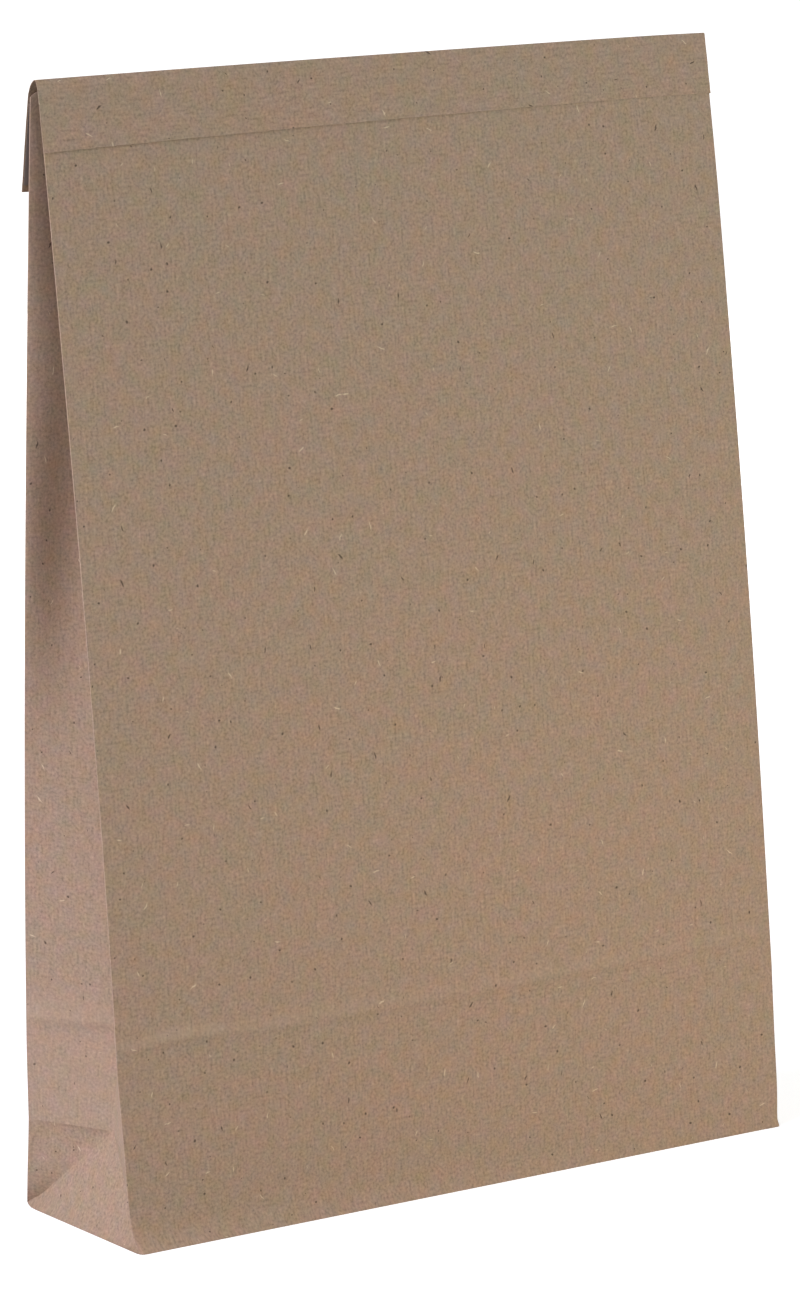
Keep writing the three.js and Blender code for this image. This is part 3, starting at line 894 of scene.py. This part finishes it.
def flecks(tree, sheet, cell, length, width, share, turn):
    """Mask of scattered slivers: one of the given size in a share of the cells, turned each its own way.
    turn is how far they may lean from the sheet's grain, 1 for any way."""
    scaled = put(tree, "VectorMath", {0: sheet, "Scale": 1 / cell}, operation="SCALE").outputs[0]
    scatter = {"Vector": scaled, "Scale": 1.0, "Randomness": FLECK_SCATTER}
    cells = put(tree, "TexVoronoi", scatter, voronoi_dimensions="2D").outputs
    local = put(tree, "VectorMath", {0: scaled, 1: cells["Position"]}, operation="SUBTRACT").outputs[0]
    draws = put(tree, "SeparateColor", {0: cells["Color"]}).outputs
    lean = turn * math.pi / 2
    angle = put(tree, "MapRange", {"Value": draws[0], "To Min": -lean, "To Max": lean}).outputs[0]
    way = {"Vector": local, "Angle": angle}
    turned = put(tree, "VectorRotate", way, rotation_type="Z_AXIS").outputs[0]
    bend = put(tree, "TexNoise", {"Vector": sheet, "Scale": 2 / length, "Detail": 1.0}).outputs["Color"]
    bent = put(tree, "VectorMath", {0: bend, 1: (0.5, 0.5, 0.5)}, operation="SUBTRACT").outputs[0]
    bow = {0: bent, "Scale": FLECK_BEND * length / cell}
    bent = put(tree, "VectorMath", bow, operation="SCALE").outputs[0]
    curved = put(tree, "VectorMath", {0: turned, 1: bent}, operation="ADD").outputs[0]
    size = put(tree, "MapRange", {"Value": draws[1], "To Min": FLECK_LEAST}).outputs[0]
    stretch = (2 * cell / width, 2 * cell / length, 0.0)
    shaped = put(tree, "VectorMath", {0: curved, 1: stretch}, operation="MULTIPLY").outputs[0]
    reach = put(tree, "VectorMath", {0: shaped}, operation="LENGTH").outputs["Value"]
    reach = put(tree, "Math", {0: reach, 1: size}, operation="DIVIDE").outputs[0]
    fade = {"Value": reach, "From Min": FLECK_RIM, "From Max": FLECK_CORE}
    inside = put(tree, "MapRange", fade).outputs[0]
    there = put(tree, "Math", {0: draws[2], 1: share}, operation="LESS_THAN").outputs[0]
    return put(tree, "Math", {0: inside, 1: there}, operation="MULTIPLY").outputs[0]


def recycled_kraft():
    """Recycled brown kraft paper, machine made: matt, with fibres drawn along the sheet, cloudy patches
    of olive and reddish pulp, dark specks of old print and bark, and pale stray fibres. Folds are rubbed
    lighter, with a painted highlight on them too; the mouth's cut edge has a painted highlight, and a
    gusset has painted light above its creases."""
    material, tree, shader = new_material("recycled_kraft_paper")
    sheet = put(tree, "Attribute", attribute_name="sheet").outputs["Vector"]

    cloud_mm, mottle_mm, streak_mm, streak_length, grain_mm = 26.0, 5.5, 0.9, 7.0, 1.0
    cloudy = {"Vector": sheet, "Scale": 1 / cloud_mm, "Detail": 4.0, "Roughness": 0.6}
    cloud = put(tree, "TexNoise", cloudy).outputs[0]
    cloud = put(tree, "MapRange", {"Value": cloud, "From Min": 0.25, "From Max": 0.75}).outputs[0]
    olive, reddish = colour("#9c8a72"), colour("#a38973")
    pulp = put(tree, "Mix", {0: cloud, 6: olive, 7: reddish}, data_type="RGBA").outputs[2]

    mottled = {"Vector": sheet, "Scale": 1 / mottle_mm, "Detail": 1.0}
    mottle = put(tree, "TexNoise", mottled).outputs["Color"]
    tints = {0: mottle, 1: (0.27, 0.03, 0.35), 2: (0.865, 0.985, 0.825)}
    wander = put(tree, "VectorMath", tints, operation="MULTIPLY_ADD").outputs[0]
    pulp = put(tree, "VectorMath", {0: pulp, 1: wander}, operation="MULTIPLY").outputs[0]

    stretch = (1 / streak_mm, 1 / streak_length, 1)
    drawn = put(tree, "VectorMath", {0: sheet, 1: stretch}, operation="MULTIPLY").outputs[0]
    streak = put(tree, "TexNoise", {"Vector": drawn, "Scale": 1.0, "Detail": 2.0}).outputs[0]
    grain = put(tree, "TexNoise", {"Vector": sheet, "Scale": 1 / grain_mm, "Detail": 2.0}).outputs[0]
    tone = put(tree, "Math", {0: streak, 1: 0.46, 2: 0.695}, operation="MULTIPLY_ADD").outputs[0]
    fine = put(tree, "Math", {0: grain, 1: 1.0, 2: -0.425}, operation="MULTIPLY_ADD").outputs[0]
    tone = put(tree, "Math", {0: tone, 1: fine}, operation="ADD").outputs[0]
    paper = put(tree, "VectorMath", {0: pulp, "Scale": tone}, operation="SCALE").outputs[0]

    specks = flecks(tree, sheet, cell=9.0, length=1.2, width=0.9, share=0.3, turn=1.0)
    slivers = flecks(tree, sheet, cell=23.0, length=2.8, width=0.7, share=0.4, turn=0.5)
    fibres = flecks(tree, sheet, cell=15.0, length=3.2, width=0.5, share=0.38, turn=1.0)
    # Pale tint for real scuffs and painted light alike: highlights on folds and the mouth's cut edge, and
    # light above a gusset's creases.
    wear_and_painted_light = put(tree, "Attribute", attribute_name="wear_and_painted_light").outputs["Fac"]
    wear_and_light_mix = put(tree, "Math", {0: wear_and_painted_light, 1: WEAR_AND_LIGHT_SHARE}, operation="MULTIPLY").outputs[0]
    for mask, strength, tint in (
        (specks, 0.85, "#4a3b30"),
        (slivers, 0.85, "#4a3b30"),
        (fibres, 0.65, "#d8c5a4"),
        (wear_and_light_mix, 1.0, "#b9a28c"),
    ):
        amount = put(tree, "Math", {0: mask, 1: strength}, operation="MULTIPLY").outputs[0]
        paper = put(tree, "Mix", {0: amount, 6: paper, 7: colour(tint)}, data_type="RGBA").outputs[2]

    relief = put(tree, "Math", {0: streak, 1: grain}, operation="ADD").outputs[0]
    bump = put(tree, "Bump", {"Strength": 0.5, "Distance": 0.00006, "Height": relief}).outputs[0]
    tree.links.new(paper, shader.inputs["Base Color"])
    tree.links.new(bump, shader.inputs["Normal"])
    shader.inputs["Roughness"].default_value = 0.85
    shader.inputs["Specular IOR Level"].default_value = 0.3
    return material


def siliconed_liner():
    """Release paper: bleached greyish kraft, calendered and siliconed, so smooth and a little glossy.
    Its greys are darkened past its own tone, as painted shade for the shadow inside the flap.
    """
    material, tree, shader = new_material("siliconed_release_paper")
    sheet = put(tree, "Attribute", attribute_name="sheet").outputs["Vector"]
    mottle_mm = 2.4
    mottle = put(tree, "TexNoise", {"Vector": sheet, "Scale": 1 / mottle_mm, "Detail": 4.0}).outputs[0]
    # Both greys are darkened past the release paper's own tone: painted shade inside the hanging flap.
    dark, pale = colour("#857a72"), colour("#958a82")
    tint = put(tree, "Mix", {0: mottle, 6: dark, 7: pale}, data_type="RGBA").outputs[2]
    bump = put(tree, "Bump", {"Strength": 0.2, "Distance": 0.00003, "Height": mottle}).outputs[0]
    tree.links.new(tint, shader.inputs["Base Color"])
    tree.links.new(bump, shader.inputs["Normal"])
    shader.inputs["Roughness"].default_value = 0.5
    return material


KRAFT = recycled_kraft()
LINER = siliconed_liner()

# Pieces
bag_shells = [wall_shell()]
bag_shells += [bottom_flap_shell(-1), bottom_flap_shell(1)]
bag_shells += [end_tuck_shell(-1), end_tuck_shell(1)]
bag = paper_object("bag_paper", bag_shells, KRAFT)
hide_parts("bag_body")

strip = paper_object("closing_strip", [strip_shell()], KRAFT)
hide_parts("closing_flap")

liner = paper_object("liner_strip", [liner_shell()], LINER)
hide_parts("release_liner")


# Studio, in metres
FLOOR_HALF = 6.0
SHADOW_FROM, SHADOW_TO = 0.4, 1.2  # the floor's shadow runs out between these distances from the bag
NEAR_LIFT = 0.7  # glow of the floor near the bag, where its shadow stays
WORLD_LIGHT = 0.28


def seen_directly(tree):
    """1 for what the camera, a gloss or a glass sees, and 0 for what only sheds light."""
    path = put(tree, "LightPath").outputs
    seen = {0: path["Is Camera Ray"], 1: path["Is Glossy Ray"]}
    seen = put(tree, "Math", seen, operation="ADD").outputs[0]
    seen = {0: seen, 1: path["Is Transmission Ray"]}
    return put(tree, "Math", seen, operation="ADD", use_clamp=True).outputs[0]


def white_floor():
    """Matt white sweep. It is seen lifted to white, less so near the bag, whose shadow stays on it."""
    material, tree, shader = new_material("matt_white_sweep")
    shader.inputs["Base Color"].default_value = colour("#d7d7d7")
    shader.inputs["Roughness"].default_value = 1.0
    shader.inputs["Specular IOR Level"].default_value = 0.0
    place = put(tree, "NewGeometry").outputs["Position"]
    away = put(tree, "VectorMath", {0: place}, operation="LENGTH").outputs["Value"]
    reach = {"Value": away, "From Min": SHADOW_FROM, "From Max": SHADOW_TO, "To Min": NEAR_LIFT}
    lift = put(tree, "MapRange", reach).outputs[0]
    lift = put(tree, "Math", {0: seen_directly(tree), 1: lift}, operation="MULTIPLY").outputs[0]
    glow = put(tree, "Emission", {"Color": colour("#ffffff"), "Strength": lift}).outputs[0]
    both = put(tree, "AddShader", {0: shader.outputs[0], 1: glow}).outputs[0]
    tree.links.new(both, tree.nodes["Material Output"].inputs["Surface"])
    return material


floor_mesh = bpy.data.meshes.new("floor")
corners = [(-1, -1), (1, -1), (1, 1), (-1, 1)]
corners = [(x * FLOOR_HALF, y * FLOOR_HALF, 0.0) for x, y in corners]
floor_mesh.from_pydata(corners, [], [(0, 1, 2, 3)])
floor_mesh.materials.append(white_floor())
floor = bpy.data.objects.new("floor", floor_mesh)
bpy.context.scene.collection.objects.link(floor)

world = bpy.data.worlds.new("studio")
bpy.context.scene.world = world
world.use_nodes = True
air = world.node_tree
strength = put(air, "MapRange", {"Value": seen_directly(air), "To Min": WORLD_LIGHT}).outputs[0]
background = air.nodes["Background"]
background.inputs["Color"].default_value = colour("#ffffff")
air.links.new(strength, background.inputs["Strength"])


def softbox(name, place, aim, size, level, tint):
    """Square lamp. Level 1 lights a surface that faces it at its aim as written."""
    lamp = bpy.data.lights.new(name, "AREA")
    lamp.shape = "SQUARE"
    lamp.size = size
    way = Vector(aim) - Vector(place)
    lamp.energy = level * math.pi**2 * way.length_squared
    lamp.color = tint
    light = bpy.data.objects.new(name, lamp)
    light.location = place
    light.rotation_euler = way.to_track_quat("-Z", "Y").to_euler()
    light.visible_camera = False
    bpy.context.scene.collection.objects.link(light)


MIDDLE, FOOT = (0.0, 0.0, 0.2), (0.02, 0.0, 0.08)  # of the bag, where the lamps aim
softbox("left_softbox", (-2.06, -0.12, 1.4), MIDDLE, size=1.4, level=0.975, tint=(1.0, 0.95, 1.13))
softbox("front_softbox", (1.29, -1.1, 0.23), MIDDLE, size=1.1, level=0.66, tint=(0.835, 1.0, 0.98))
softbox("back_softbox", (0.6, 2.0, 0.3), MIDDLE, size=1.4, level=0.35, tint=(1.0, 1.0, 1.0))
softbox("warm_table_bounce", (0.1, -0.38, 0.08), FOOT, size=0.2, level=0.21, tint=(1.0, 0.5, 0.25))

camera_data = bpy.data.cameras.new("camera")
camera_data.sensor_width = SENSOR
camera_data.lens = FOCAL_PIXELS * SENSOR / FRAME_HEIGHT
camera = bpy.data.objects.new("camera", camera_data)
azimuth, elevation, roll = (math.radians(a) for a in (CAMERA_AZIMUTH, CAMERA_ELEVATION, CAMERA_ROLL))
flat = math.cos(elevation)
back = Vector((math.sin(azimuth) * flat, -math.cos(azimuth) * flat, math.sin(elevation)))
level_right = Vector((0, 0, 1)).cross(back).normalized()
level_up = back.cross(level_right)
right = level_right * math.cos(roll) + level_up * math.sin(roll)
up = level_up * math.cos(roll) - level_right * math.sin(roll)
turn = Matrix((right, up, back)).transposed().to_4x4()
camera.matrix_world = Matrix.Translation(CAMERA_AT * METRES) @ turn
bpy.context.scene.collection.objects.link(camera)
bpy.context.scene.camera = camera
bpy.context.scene.view_settings.view_transform = "Standard"
